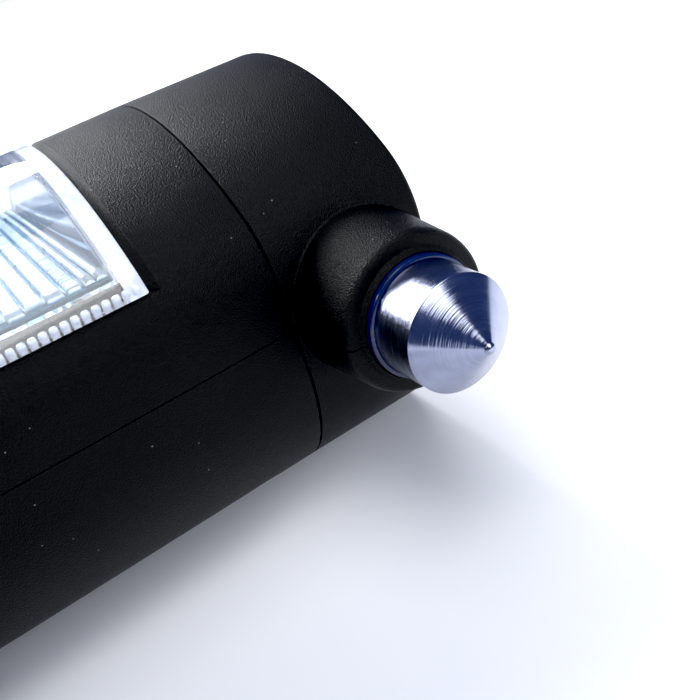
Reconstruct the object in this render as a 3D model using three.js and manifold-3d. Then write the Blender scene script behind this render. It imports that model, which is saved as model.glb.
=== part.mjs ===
// Car emergency tool: a hand lamp with a glass-breaking steel point, a belt
// cutter and a sliding tyre tread gauge.
//
// Millimetres, +Z up. The tool lies on its flat underside. +X runs along the
// handle to the head, and the steel point sticks out of the head towards -Y.
// The pieces are placed in a group of their own, whose X = 0 is the seam
// between handle and head and whose Z = 0 is the parting plane of the shells.
// That group is then raised and moved, so that the outer origin is on the
// underside, where the grip begins.

import * as THREE from 'three';
import { mergeVertices } from 'three/addons/utils/BufferGeometryUtils.js';
import Module from 'manifold-3d';

const wasm = await Module();
wasm.setup();

// ---------------------------------------------------------------- dimensions

const HALF_WIDTH = 20;          // handle, at the parting plane
const TOP = 16.2;               // crown above the parting plane
const BOTTOM = 18.6;            // flat underside below the parting plane
const CROWN_R = 25.7;           // arc over the top
const SHOULDER_R = 8.0;         // arc from crown to side
const BELLY_R = 15.2;           // arc from side to underside
const WALL = 2.2;               // shell wall
const GAP = 0.3;                // clearance between pieces
const SPLIT = 0.1;              // half of the line between two shells

const HEAD_LENGTH = 13.7;
const TAIL = 173.7;             // length of the handle
const ORIGIN = 40;              // behind the seam, where the grip begins
const SWELL_LENGTH = 50;        // the handle changes section over this length
const SWELL_WIDTH = 0.026;      // and grows wider by this share
const SWELL_HEIGHT = -0.03;     // and grows lower by this share
const EDGE = 0.5;               // rounding of the two end faces

const POINT_X = 7.1;            // axis of the steel point
const POINT_R = 4.45;
const POINT_BASE = 32.0;        // where the cone starts
const POINT_CONE = 3.5;         // length of the cone
const POINT_FOOT = 9.0;         // inner end of the shank
const FLANGE_R = 5.6;
const COLLAR_R = 4.8;
const COLLAR_END = 27.9;
const BOSS_R = 6.85;            // boss that carries the point
const BOSS_TIP_R = 6.35;
const BOSS_END = 27.0;

const LENS_START = 8.8;         // lamp lens, distances behind the seam
const LENS_END = 92.8;
const LENS_RIM = 0.75;          // recess around the lens
const LENS_PROUD = 0.24;
const LENS_WALL = 1.5;
const LEDGE_Z = 7.6;            // the lens stands on this ledge
const SHELF_Y = 14.5;           // inner edge of that ledge
const TRAY_Z = 9.0;             // reflector floor
const LED_COUNT = 6;
const LED_FIRST = 34;
const LED_PITCH = 10.4;

const BAY_START = 56;           // battery bay
const BAY_END = 110;
const DOOR_Z = -7;
const HINGE_Y = 19.5;
const CELL_R = 5.25;            // three AAA cells
const CELL_LENGTH = 44.5;
const CELL_PITCH = 10.7;
const CELL_Z = -7.6;
const CELL_START = 61.5;

const SWITCH_X = 110;           // slide switch, centre of its pocket
const SWITCH_TRAVEL = 6;
const BELT_X = 136.3;           // belt cutter slot
const BELT_WIDTH = 5.6;
const BELT_DEPTH_Y = 4;
const BLOCK_START = 127;        // solid stretch of the shells round the slot
const BLOCK_END = 148;

const TORCH_Z = -1.7;           // tail torch
const TORCH_BORE = 14.2;
const BEZEL_R = 15.2;

const GAUGE_Y = 16.6;           // tread gauge: a steel strip behind the far wall
const GAUGE_Z = 3.8;
const GAUGE_START = 36;
const GAUGE_TRAVEL = 16;
const THUMB_Y = 20.8;           // inner face of its thumb piece

const SCREW_Y = 12;
const SCREW_ROWS = [5.6, 47, 121];
const HEAD_SCREWS = [1.5, 12.5];
const SCREW_SEAT = -10.1;       // top of the pockets that hold the screw heads
const HEAD_SCREW_SEAT = -7.6;
const SCREW_HEAD = 1.8;

// ------------------------------------------------------------ solids and cuts

const TO_LENGTH = new THREE.Matrix4().makeBasis(
  new THREE.Vector3(0, 1, 0), new THREE.Vector3(0, 0, 1), new THREE.Vector3(1, 0, 0));

function solid(geometry) {
  const bare = geometry.index ? geometry.toNonIndexed() : geometry.clone();
  bare.deleteAttribute('normal');
  bare.deleteAttribute('uv');
  const merged = mergeVertices(bare, 1e-4);
  return new wasm.Manifold(new wasm.Mesh({
    numProp: 3,
    vertProperties: new Float32Array(merged.attributes.position.array),
    triVerts: new Uint32Array(merged.index.array),
  }));
}

function geometryOf(manifold) {
  const mesh = manifold.getMesh();
  const geometry = new THREE.BufferGeometry();
  geometry.setAttribute('position', new THREE.BufferAttribute(mesh.vertProperties, 3));
  geometry.setIndex(new THREE.BufferAttribute(mesh.triVerts, 1));
  geometry.computeVertexNormals();
  return geometry;
}

// A box between two corners.
function box([x0, y0, z0], [x1, y1, z1]) {
  const geometry = new THREE.BoxGeometry(x1 - x0, y1 - y0, z1 - z0);
  return solid(geometry.translate((x0 + x1) / 2, (y0 + y1) / 2, (z0 + z1) / 2));
}

// A round bar along one axis, from one place on it to another.
function bar(axis, r, from, to, [a, b], sides = 24) {
  const geometry = new THREE.CylinderGeometry(r, r, to - from, sides);
  geometry.translate(0, (from + to) / 2, 0);
  if (axis === 'x') return solid(geometry.rotateZ(-Math.PI / 2).translate(0, a, b));
  if (axis === 'y') return solid(geometry.translate(a, 0, b));
  return solid(geometry.rotateX(Math.PI / 2).translate(a, b, 0));
}

// A turned piece: [distance along the axis, radius] pairs, from axis to axis.
function turned(axis, profile, [a, b], sides = 32) {
  const points = profile.map(([along, r]) => new THREE.Vector2(r, along));
  const geometry = new THREE.LatheGeometry(points, sides);
  if (axis === 'x') return solid(geometry.rotateZ(-Math.PI / 2).translate(0, a, b));
  if (axis === 'y') return solid(geometry.translate(a, 0, b));
  return solid(geometry.rotateX(Math.PI / 2).translate(a, b, 0));
}

// An outline across the handle, drawn in (y, z), pulled along X.
function prism(outline, x0, x1, bevel = 0) {
  const geometry = new THREE.ExtrudeGeometry(outline, {
    depth: x1 - x0 - 2 * bevel,
    curveSegments: 4,
    bevelEnabled: bevel > 0,
    bevelThickness: bevel,
    bevelSize: bevel,
    bevelOffset: -bevel,
    bevelSegments: 2,
  });
  return geometry.translate(0, 0, x0 + bevel).applyMatrix4(TO_LENGTH);
}

// A flat outline in (x, y), with a thickness in Z.
function slab(points, z0, z1) {
  const shape = new THREE.Shape(points.map(([x, y]) => new THREE.Vector2(x, y)));
  const geometry = new THREE.ExtrudeGeometry(shape, { depth: z1 - z0, bevelEnabled: false });
  return solid(geometry.translate(0, 0, z0));
}

// -------------------------------------------------------------- handle section

// The section of handle and head, pushed outwards by offset.
function section(offset = 0) {
  const crown = CROWN_R + offset;
  const shoulder = SHOULDER_R + offset;
  const belly = BELLY_R + offset;
  const crownZ = TOP - CROWN_R;
  const shoulderY = HALF_WIDTH - SHOULDER_R;
  const shoulderZ = crownZ + Math.sqrt((CROWN_R - SHOULDER_R) ** 2 - shoulderY ** 2);
  const turn = Math.atan2(shoulderZ - crownZ, shoulderY);
  const bellyY = HALF_WIDTH - BELLY_R;
  const bellyZ = BELLY_R - BOTTOM;
  const shape = new THREE.Shape();
  shape.absarc(bellyY, bellyZ, belly, -Math.PI / 2, 0);
  shape.absarc(shoulderY, shoulderZ, shoulder, 0, turn);
  shape.absarc(0, crownZ, crown, turn, Math.PI - turn);
  shape.absarc(-shoulderY, shoulderZ, shoulder, Math.PI - turn, Math.PI);
  shape.absarc(-bellyY, bellyZ, belly, Math.PI, 1.5 * Math.PI);
  return shape;
}

// The slow change of section behind the head.
function swell(geometry, share) {
  const p = geometry.attributes.position;
  for (let i = 0; i < p.count; i += 1) {
    const t = share ?? THREE.MathUtils.clamp(-p.getX(i) / SWELL_LENGTH, 0, 1);
    p.setY(i, p.getY(i) * (1 + SWELL_WIDTH * t));
    p.setZ(i, -BOTTOM + (p.getZ(i) + BOTTOM) * (1 + SWELL_HEIGHT * t));
  }
  return geometry;
}

// A length of handle between two distances behind the seam.
function handle(offset, near, far, bevel = 0) {
  const parts = [];
  if (near < SWELL_LENGTH) {
    const end = Math.min(far, SWELL_LENGTH);
    parts.push(solid(swell(prism(section(offset), -end, -near))));
  }
  if (far > SWELL_LENGTH) {
    const start = Math.max(near, SWELL_LENGTH);
    const whole = solid(swell(prism(section(offset), -far, -start + 5, bevel), 1));
    parts.push(whole.intersect(box([-far - 1, -40, -40], [-start, 40, 40])));
  }
  return parts.reduce((a, b) => a.add(b));
}

const FAR = 60;
const above = (z) => box([-FAR * 4, -FAR, z], [FAR, FAR, FAR]);
const below = (z) => box([-FAR * 4, -FAR, -FAR], [FAR, FAR, z]);

// --------------------------------------------------------------- handle shells

// What both shells of the handle leave free.
function handleHollows() {
  const cavity = handle(-WALL, WALL, BLOCK_START);
  const torch = bar('x', TORCH_BORE, -TAIL + 3.4, -BLOCK_END, [0, TORCH_Z], 32);
  const seat = bar('x', BEZEL_R + GAP, -TAIL - 1, -TAIL + 3.5, [0, TORCH_Z], 32);
  const slot = box([-BELT_X - BELT_WIDTH / 2, BELT_DEPTH_Y, -FAR],
    [-BELT_X + BELT_WIDTH / 2, FAR, FAR]);
  const mouth = solid(new THREE.BoxGeometry(BELT_WIDTH, BELT_WIDTH, 2 * FAR)
    .rotateZ(Math.PI / 4).translate(-BELT_X, HALF_WIDTH + 1, 0));
  const wires = bar('x', 2, -BLOCK_END - 1, -BLOCK_START + 1, [-8, -6], 12);
  const knife = slab(bladeOutline(GAP), -0.4 - GAP, 0.4 + GAP);
  return [cavity, torch, seat, slot, mouth, wires, knife];
}

function shellUpper() {
  let shell = handle(0, SPLIT, TAIL, EDGE).intersect(above(SPLIT));
  const [cavity, ...cuts] = handleHollows();
  const shelf = box([-LENS_END - 2, -SHELF_Y, 5.6], [-LENS_START + 2, SHELF_Y, FAR]);
  const lensRoom = box([-LENS_END - 2, -FAR, -FAR], [-LENS_START + 2, FAR, 5.6]);
  const open = box([-LENS_END - 2, -FAR, -FAR], [-LENS_START + 2, FAR, FAR]);
  shell = shell.subtract(cavity.subtract(open));
  shell = shell.subtract(cavity.intersect(shelf.add(lensRoom)));
  cuts.forEach((cut) => { shell = shell.subtract(cut); });
  shell = shell.subtract(box([-LENS_END, -FAR, LEDGE_Z], [-LENS_START, FAR, FAR]));
  const rim = handle(2, LENS_START - LENS_RIM, LENS_END + LENS_RIM)
    .subtract(handle(-LENS_RIM, 2, LENS_END + 4));
  shell = shell.subtract(rim.intersect(above(LEDGE_Z)));
  shell = shell.add(switchPad());
  shell = shell.subtract(switchPocket());
  SCREW_ROWS.forEach((x) => [-1, 1].forEach((side) => {
    const top = x < LENS_END ? LEDGE_Z - 0.5 : 12;
    const post = bar('z', 3.2, SPLIT, top, [-x, side * SCREW_Y], 16);
    const reach = handle(-0.6, SPLIT, BLOCK_START + 1);
    shell = shell.add(post.intersect(reach));
    shell = shell.subtract(bar('z', 1.4, -1, 6.6, [-x, side * SCREW_Y], 12));
  }));
  [-1, 1].forEach((side) => {
    const post = bar('z', 1.8, 7.4, 12.5, [-SWITCH_X - 7, side * 6.4], 12);
    shell = shell.add(post.intersect(handle(-0.6, SPLIT, BLOCK_START)));
  });
  const slot = box([-GAUGE_START - 0.4, GAUGE_Y, GAUGE_Z - 1.3],
    [-GAUGE_START + GAUGE_TRAVEL + 4.4, FAR, GAUGE_Z + 1.3]);
  shell = shell.subtract(slot);
  shell = shell.subtract(gaugeChannel(-WALL - 1, 1));
  shell = shell.subtract(scaleOutline(0.25));
  return shell;
}

function shellLower() {
  let shell = handle(0, SPLIT, TAIL, EDGE).intersect(below(-SPLIT));
  handleHollows().forEach((cut) => { shell = shell.subtract(cut); });
  SCREW_ROWS.forEach((x) => [-1, 1].forEach((side) => {
    const place = [-x, side * SCREW_Y];
    const reach = handle(-0.6, SPLIT, BLOCK_START + 1);
    const post = bar('z', 4, -BOTTOM, -SPLIT, place, 16).intersect(reach);
    shell = shell.add(post.subtract(handle(FAR, BAY_START - 0.2, BAY_END + 0.2)));
    shell = shell.subtract(bar('z', 1.4, -BOTTOM, 1, place, 12));
    shell = shell.subtract(bar('z', 2.8, -BOTTOM - 2, SCREW_SEAT, place, 16));
  }));
  shell = shell.subtract(box([-BAY_END, -FAR, -FAR], [-BAY_START, FAR, DOOR_Z]));
  shell = shell.subtract(bar('x', 1.7, -BAY_END, -BAY_START, [HINGE_Y, DOOR_Z], 16));
  shell = shell.add(bar('x', 1.6, -BAY_END - 4, -BAY_END - 0.1, [HINGE_Y, DOOR_Z], 16));
  shell = shell.add(bar('x', 1.6, -BAY_START + 0.1, -BAY_START + 4, [HINGE_Y, DOOR_Z], 16));
  shell = shell.subtract(bar('x', 0.8, -BAY_END - 3.4, -BAY_START + 3.4, [HINGE_Y, DOOR_Z], 12));
  return shell;
}

// ----------------------------------------------------------------------- head

function headSolid() {
  const geometry = prism(section(), -6, HEAD_LENGTH, EDGE);
  let head = solid(geometry).intersect(box([SPLIT, -FAR, -FAR], [FAR, FAR, FAR]));
  const boss = turned('y', [
    [-BOSS_END, 0],
    [-BOSS_END, BOSS_TIP_R - 0.9],
    [-BOSS_END + 0.25, BOSS_TIP_R - 0.35],
    [-BOSS_END + 0.9, BOSS_TIP_R],
    [-HALF_WIDTH - 0.9, BOSS_R],
    [-HALF_WIDTH - 0.3, BOSS_R + 0.25],
    [-HALF_WIDTH + 0.3, BOSS_R + 0.9],
    [-HALF_WIDTH + 3, BOSS_R + 0.9],
    [-HALF_WIDTH + 3, 0],
  ], [POINT_X, 0], 40);
  const room = box([SPLIT, -FAR, -FAR], [HEAD_LENGTH + 0.3, -HALF_WIDTH + 2.6, FAR]);
  head = head.add(boss.intersect(room));
  head = head.subtract(bar('y', POINT_R + GAP, -FAR, -POINT_FOOT - 1, [POINT_X, 0], 32));
  head = head.subtract(bar('y', COLLAR_R + GAP, -FAR, -BOSS_END + 3.3, [POINT_X, 0], 32));
  head = head.subtract(bar('y', FLANGE_R + GAP, -POINT_FOOT - 3.3, -POINT_FOOT + GAP, [POINT_X, 0], 32));
  head = head.subtract(bar('z', 1.5 + GAP, -8.3, 8.3, [POINT_X, -16], 16));
  head = head.subtract(gaugeChannel(-1, HEAD_LENGTH + 1));
  return head;
}

function headUpper() {
  let head = headSolid().intersect(above(SPLIT));
  HEAD_SCREWS.forEach((y) => {
    head = head.subtract(bar('z', 1.4, -1, 9, [POINT_X, y], 12));
  });
  return head;
}

function headLower() {
  let head = headSolid().intersect(below(-SPLIT));
  HEAD_SCREWS.forEach((y) => {
    head = head.subtract(bar('z', 1.4, -FAR, 1, [POINT_X, y], 12));
    head = head.subtract(bar('z', 2.8, -FAR, HEAD_SCREW_SEAT, [POINT_X, y], 16));
  });
  return head;
}

function hammerPoint() {
  const blunt = 0.35;
  let point = turned('y', [
    [-POINT_BASE - POINT_CONE, 0],
    [-POINT_BASE - POINT_CONE + 0.08, blunt],
    [-POINT_BASE, POINT_R],
    [-POINT_FOOT - 3, POINT_R],
    [-POINT_FOOT - 3, FLANGE_R],
    [-POINT_FOOT, FLANGE_R],
    [-POINT_FOOT, 0],
  ], [POINT_X, 0], 48);
  point = point.subtract(bar('z', 1.5 + GAP, -8, 8, [POINT_X, -16], 16));
  return point;
}

function pointCollar() {
  const outer = bar('y', COLLAR_R, -COLLAR_END, -BOSS_END + 3, [POINT_X, 0], 40);
  return outer.subtract(bar('y', POINT_R + 0.1, -FAR, 0, [POINT_X, 0], 48));
}

// ------------------------------------------------------------------- side lamp

function sideLens() {
  const near = LENS_START + 0.1;
  const far = LENS_END - 0.1;
  const outer = handle(LENS_PROUD, near, far);
  const inner = handle(LENS_PROUD - LENS_WALL, near + LENS_WALL, far - LENS_WALL);
  return outer.subtract(inner).intersect(above(LEDGE_Z + 0.2));
}

function reflectorTray() {
  const near = LENS_START + LENS_WALL + 0.5;
  const far = LENS_END - LENS_WALL - 0.5;
  const fit = handle(LENS_PROUD - LENS_WALL - 0.35, near, far);
  let tray = box([-far, -FAR, LEDGE_Z + 0.2], [-near, FAR, TRAY_Z]).intersect(fit);
  [LED_FIRST - 6, LENS_END - 6].forEach((x) => [-1, 1].forEach((side) => {
    tray = tray.add(bar('z', 1.6, 7.3, LEDGE_Z + 0.4, [-x, side * 6], 12));
  }));
  for (let i = 0; i < LED_COUNT; i += 1) {
    tray = tray.subtract(bar('z', 2.6, 0, FAR, [-LED_FIRST - i * LED_PITCH, 0], 16));
  }
  return tray;
}

const lampBoard = () => box([-LENS_END + 3, -8, 6], [-LED_FIRST + 9, 8, 7.2]);

function lampLed(index) {
  const r = 2;
  return turned('z', [
    [7.3, 0],
    [7.3, r],
    [8.6, r],
    [9.4, 0.86 * r],
    [9.9, 0.5 * r],
    [10.1, 0],
  ], [-LED_FIRST - index * LED_PITCH, 0], 16);
}

// ---------------------------------------------------------------------- switch

const TOP_REAR = -BOTTOM + (TOP + BOTTOM) * (1 + SWELL_HEIGHT);

function switchPad() {
  const pad = box([-SWITCH_X - 11, -7.5, TOP_REAR - 4], [-SWITCH_X + 11, 7.5, TOP_REAR - 1]);
  return pad.intersect(handle(-0.4, SPLIT, BLOCK_START));
}

function switchPocket() {
  const pocket = box([-SWITCH_X - 9, -5.5, TOP_REAR - 1.6], [-SWITCH_X + 9, 5.5, FAR]);
  const slot = box([-SWITCH_X - 5.5, -1.9, 7], [-SWITCH_X + 5.5, 1.9, FAR]);
  return pocket.add(slot);
}

// The thumb piece rests at the tail end of its pocket.
function switchThumb() {
  const x = -SWITCH_X - SWITCH_TRAVEL / 2;
  const plateZ = TOP_REAR - 1.3;
  let thumb = box([x - 4.5, -4.8, plateZ], [x + 4.5, 4.8, TOP_REAR + 0.1]);
  thumb = thumb.add(box([x - 1.6, -1.4, 11.2], [x + 1.6, 1.4, plateZ + 0.2]));
  for (let i = -2; i <= 2; i += 1) {
    const rib = box([x + i * 1.7 - 0.4, -4.2, TOP_REAR], [x + i * 1.7 + 0.4, 4.2, TOP_REAR + 0.8]);
    thumb = thumb.add(rib);
  }
  return thumb;
}

const switchUnit = () => box([-SWITCH_X - 7.5, -4, 7.4], [-SWITCH_X + 7.5, 4, 10.9]);
const controlBoard = () => box([-SWITCH_X - 11, -8.4, 6], [-SWITCH_X + 12, 8.4, 7.2]);

// --------------------------------------------------------------------- battery

const cellY = (index) => (index - 1) * CELL_PITCH;

function cell(index) {
  const x = -CELL_START - CELL_LENGTH;
  return turned('x', [
    [x, 0],
    [x, CELL_R - 0.5],
    [x + 0.5, CELL_R],
    [x + CELL_LENGTH - 1.4, CELL_R],
    [x + CELL_LENGTH - 0.9, CELL_R - 0.5],
    [x + CELL_LENGTH - 0.9, 1.9],
    [x + CELL_LENGTH, 1.9],
    [x + CELL_LENGTH, 0],
  ], [cellY(index), CELL_Z], 20);
}

function cradle() {
  const near = BAY_START + 1;
  const far = BAY_END - 1;
  const floor = CELL_Z + CELL_R + GAP;
  let piece = box([-far, -16.4, floor], [-near, 16.4, floor + 1.2]);
  [[near, near + 1], [far - 1, far]].forEach(([a, b]) => {
    piece = piece.add(box([-b, -16.4, CELL_Z - 3.6], [-a, 16.4, floor + 0.5]));
  });
  [-1, 1].forEach((side) => {
    const y = side * CELL_PITCH / 2;
    const rib = box([-far, y - 1.2, floor - 3], [-near, y + 1.2, floor + 0.5]);
    piece = piece.add(rib);
  });
  for (let i = 0; i < 3; i += 1) {
    const room = bar('x', CELL_R + GAP, -far + 1, -near - 1, [cellY(i), CELL_Z], 20);
    piece = piece.subtract(room);
  }
  return piece.intersect(handle(-WALL - GAP, 2, BAY_END));
}

// A wire spring under tension against the rear end of one cell.
function contactSpring(index) {
  const far = BAY_END - 2 - GAP;
  const near = CELL_START + CELL_LENGTH + GAP;
  const turns = 2.5;
  class Coil extends THREE.Curve {
    getPoint(t, target = new THREE.Vector3()) {
      const angle = 2 * Math.PI * turns * t;
      const r = 2.2 + 1.2 * t;
      const x = THREE.MathUtils.lerp(-near - 0.25, -far + 0.25, t);
      return target.set(x, cellY(index) + r * Math.cos(angle), CELL_Z + r * Math.sin(angle));
    }
  }
  const wire = new THREE.Shape().absarc(0, 0, 0.22, 0, 2 * Math.PI);
  return solid(new THREE.ExtrudeGeometry(wire, {
    steps: 30, curveSegments: 3, bevelEnabled: false, extrudePath: new Coil(),
  }));
}

function contactPlate(index) {
  const x = -CELL_START + GAP;
  return box([x, cellY(index) - 3.6, CELL_Z - 3], [x + 0.6, cellY(index) + 3.6, CELL_Z + 4]);
}

function batteryDoor() {
  const near = BAY_START + 0.25;
  const far = BAY_END - 0.25;
  let door = handle(0, near, far).subtract(handle(-WALL + 0.3, near - 1, far + 1));
  door = door.intersect(below(DOOR_Z - 0.25));
  const barrel = bar('x', 1.3, -far, -near, [HINGE_Y, DOOR_Z], 16);
  const keep = box([-far - 1, HINGE_Y - 1.6, DOOR_Z - 2.2], [-near + 1, HINGE_Y, DOOR_Z]);
  const inside = handle(-WALL + 0.3, near - 1, far + 1);
  const root = keep.intersect(handle(-0.5, near, far)).subtract(inside);
  door = door.add(barrel).add(root);
  return door.subtract(bar('x', 0.8, -far - 1, -near + 1, [HINGE_Y, DOOR_Z], 12));
}

const hingePin = () => bar('x', 0.5, -BAY_END - 3, -BAY_START + 3, [HINGE_Y, DOOR_Z], 12);

// ------------------------------------------------------------------ tail torch

function torchReflector() {
  const front = -TAIL + 4;
  return turned('x', [
    [front, 12.6],
    [front, 13.7],
    [front + 1, 13.7],
    [front + 5.5, 11.8],
    [front + 10.2, 8.3],
    [front + 13.5, 2.6],
    [front + 12.5, 2.6],
    [front + 9.5, 7.2],
    [front + 5, 10.6],
    [front, 12.6],
  ], [0, TORCH_Z]);
}

const torchBoard = () => bar('x', 9, -BLOCK_END - 4, -BLOCK_END - 2.8, [0, TORCH_Z], 24);

function torchLed() {
  const base = -BLOCK_END - 4.2;
  return turned('x', [
    [base - 6, 0],
    [base - 5.6, 1.1],
    [base - 4.6, 1.9],
    [base, 1.9],
    [base, 0],
  ], [0, TORCH_Z], 20);
}

const torchLens = () => bar('x', 14.4, -TAIL + 1.8, -TAIL + 3.2, [0, TORCH_Z], 32);

function torchBezel() {
  const profile = [
    [-TAIL - 0.8, 12.4],
    [-TAIL - 0.8, BEZEL_R - 0.6],
    [-TAIL - 0.2, BEZEL_R],
    [-TAIL + 1.6, BEZEL_R],
    [-TAIL + 1.6, 13],
    [-TAIL - 0.8, 12.4],
  ];
  return turned('x', profile, [0, TORCH_Z], 40);
}

// ----------------------------------------------------------------- belt cutter

// The blade crosses the closed end of the slot at a slant.
function bladeOutline(margin = 0) {
  const near = -BELT_X + 5.2 + margin;
  const far = -BELT_X - 5.2 - margin;
  return [[far, -1 - margin], [near, -1 - margin], [near, 11 + margin], [far, 4.5 + margin]];
}

const beltBlade = () => slab(bladeOutline(), -0.4, 0.4);

// ----------------------------------------------------------------- tread gauge

const gaugeChannel = (x0, x1) => box([x0, GAUGE_Y - 0.9, GAUGE_Z - 1.5],
  [x1, GAUGE_Y + 0.9, GAUGE_Z + 1.5]);

function gaugeProbe() {
  const strip = box([-GAUGE_START, GAUGE_Y - 0.55, GAUGE_Z - 1.1],
    [HEAD_LENGTH - 0.2, GAUGE_Y + 0.55, GAUGE_Z + 1.1]);
  const neck = box([-GAUGE_START, GAUGE_Y, GAUGE_Z - 0.9],
    [-GAUGE_START + 4, THUMB_Y, GAUGE_Z + 0.9]);
  return strip.add(neck);
}

function gaugeThumb() {
  const y = THUMB_Y;
  let thumb = box([-GAUGE_START - 2, y, GAUGE_Z - 2.6], [-GAUGE_START + 6, y + 1.2, GAUGE_Z + 2.6]);
  for (let i = -1; i <= 1; i += 1) {
    const x = -GAUGE_START + 2 + i * 2;
    thumb = thumb.add(box([x - 0.5, y + 1, GAUGE_Z - 2], [x + 0.5, y + 1.9, GAUGE_Z + 2]));
  }
  return thumb;
}

// A strip with the depth scale, let into the far side under the slot.
function scaleOutline(margin = 0) {
  const ring = handle(0.15, GAUGE_START - GAUGE_TRAVEL - 6 - margin, GAUGE_START + 2 + margin)
    .subtract(handle(-0.5 - margin, 2, SWELL_LENGTH));
  return ring.intersect(box([-FAR, 0, 0.5 - margin], [0, FAR, 2 + margin]));
}

// ---------------------------------------------------------------------- screws

function screw(x, y, seat) {
  const headZ = seat - GAP - SCREW_HEAD;
  return turned('z', [
    [headZ, 0],
    [headZ, 2.2],
    [headZ + 1, 2.3],
    [headZ + SCREW_HEAD, 1.1],
    [headZ + 16.5, 1.1],
    [headZ + 17.5, 0],
  ], [x, y], 16);
}

// ------------------------------------------------------------------- the model

const material = (color, roughness, metalness = 0) => new THREE.MeshStandardMaterial(
  { color, roughness, metalness });

const blackPlastic = material(0x141416, 0.55);
const steel = material(0xb9bec8, 0.2, 1);
const navyPlastic = material(0x1b2f66, 0.3);
const clear = material(0xd9e8ff, 0.08);
clear.transparent = true;
clear.opacity = 0.4;
const silver = material(0xcfdcf0, 0.18, 0.9);
const board = material(0x1d5a35, 0.5);
const led = material(0xf3f0d8, 0.2);
const greyPlastic = material(0x54575c, 0.5);
const cellWrap = material(0x7d838c, 0.35);
const contact = material(0xc9c3b0, 0.3, 1);
const scaleWhite = material(0xe8e8e4, 0.5);

const tool = new THREE.Group();
tool.position.set(ORIGIN, 0, BOTTOM);

function add(name, shape, look) {
  const mesh = new THREE.Mesh(geometryOf(shape), look);
  mesh.name = name;
  tool.add(mesh);
}

add('body_shell_upper', shellUpper(), blackPlastic);
add('body_shell_lower', shellLower(), blackPlastic);
add('head_shell_upper', headUpper(), blackPlastic);
add('head_shell_lower', headLower(), blackPlastic);
add('hammer_point', hammerPoint(), steel);
add('point_collar', pointCollar(), navyPlastic);
add('point_cross_pin', bar('z', 1.5, -7.8, 7.8, [POINT_X, -16], 16), steel);
add('side_lens', sideLens(), clear);
add('reflector_tray', reflectorTray(), silver);
add('lamp_board', lampBoard(), board);
for (let i = 0; i < LED_COUNT; i += 1) add(`lamp_led_${i + 1}`, lampLed(i), led);
add('control_board', controlBoard(), board);
add('switch_unit', switchUnit(), greyPlastic);
add('switch_thumb', switchThumb(), greyPlastic);
add('battery_cradle', cradle(), greyPlastic);
for (let i = 0; i < 3; i += 1) {
  add(`battery_cell_${i + 1}`, cell(i), cellWrap);
  add(`contact_spring_${i + 1}`, contactSpring(i), contact);
  add(`contact_plate_${i + 1}`, contactPlate(i), contact);
}
add('battery_door', batteryDoor(), blackPlastic);
add('door_hinge_pin', hingePin(), steel);
add('torch_bezel', torchBezel(), greyPlastic);
add('torch_lens', torchLens(), clear);
add('torch_reflector', torchReflector(), silver);
add('torch_led', torchLed(), led);
add('torch_board', torchBoard(), board);
add('belt_blade', beltBlade(), steel);
add('gauge_probe', gaugeProbe(), steel);
add('gauge_thumb', gaugeThumb(), greyPlastic);
add('gauge_scale', scaleOutline(), scaleWhite);
SCREW_ROWS.forEach((x, row) => [-1, 1].forEach((side, k) => {
  add(`body_screw_${2 * row + k + 1}`, screw(-x, side * SCREW_Y, SCREW_SEAT), steel);
}));
HEAD_SCREWS.forEach((y, k) => add(`head_screw_${k + 1}`, screw(POINT_X, y, HEAD_SCREW_SEAT), steel));

export default tool;
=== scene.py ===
# %% [markdown]
# # Car emergency tool
# A black plastic hand tool with a steel point on its head, a lamp under a clear
# lens, a tail torch, a belt cutter and a sliding tread gauge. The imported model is
# the fixed frame: it gives every size and place. The looks are built around it.

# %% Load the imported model
import math

import bmesh
import bpy
from mathutils import Matrix, Vector


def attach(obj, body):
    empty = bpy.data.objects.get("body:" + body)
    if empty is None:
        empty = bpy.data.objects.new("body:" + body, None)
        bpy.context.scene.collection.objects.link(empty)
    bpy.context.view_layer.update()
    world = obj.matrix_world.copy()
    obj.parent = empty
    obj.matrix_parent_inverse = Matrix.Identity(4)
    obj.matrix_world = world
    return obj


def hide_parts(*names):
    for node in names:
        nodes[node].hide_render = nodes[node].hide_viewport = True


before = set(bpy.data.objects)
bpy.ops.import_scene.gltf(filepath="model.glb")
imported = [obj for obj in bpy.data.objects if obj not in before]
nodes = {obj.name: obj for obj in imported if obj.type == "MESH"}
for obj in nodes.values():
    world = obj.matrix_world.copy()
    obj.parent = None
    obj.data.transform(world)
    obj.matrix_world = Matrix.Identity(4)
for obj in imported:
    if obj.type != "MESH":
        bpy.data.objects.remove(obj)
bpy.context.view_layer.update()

# %% [markdown]
# ## The tool's own measure
# Everything is drawn in millimetres. X = 0 is the seam between handle and head,
# and Z = 0 is the parting plane of the shells. Every finished mesh is then put
# in its place once, so that its object stays at the origin. The sizes are the
# drawing's, so that the looks and the solids agree.

# %% Sizes
MM = 0.001
SEAM_X = 40.0                   # the seam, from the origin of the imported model
BOTTOM = 18.6                   # underside below the parting plane
TOP = 16.2                      # crown above the parting plane
HALF_WIDTH = 20.0
CROWN_R = 25.7                  # the three radii of the section
SHOULDER_R = 8.0
BELLY_R = 15.2
WALL = 2.2                      # thickness of the shells
SPLIT = 0.03                    # half of the line between upper and lower shell
SEAM = 0.08                     # half of the line between handle and head
TAIL = 173.7                    # length of the handle
HEAD_LENGTH = 13.7
SWELL_LENGTH = 50.0             # the length over which the handle changes its section
SWELL_WIDTH = 0.026
SWELL_HEIGHT = -0.03
TRAY_Z = 9.0                    # floor of the lamp's silvered tray

PLACE = Matrix.Translation(Vector((SEAM_X, 0, BOTTOM)) * MM) @ Matrix.Scale(MM, 4)
print("seam at", round(SEAM_X * MM, 4), "m, parting plane at", BOTTOM * MM, "m")

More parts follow.
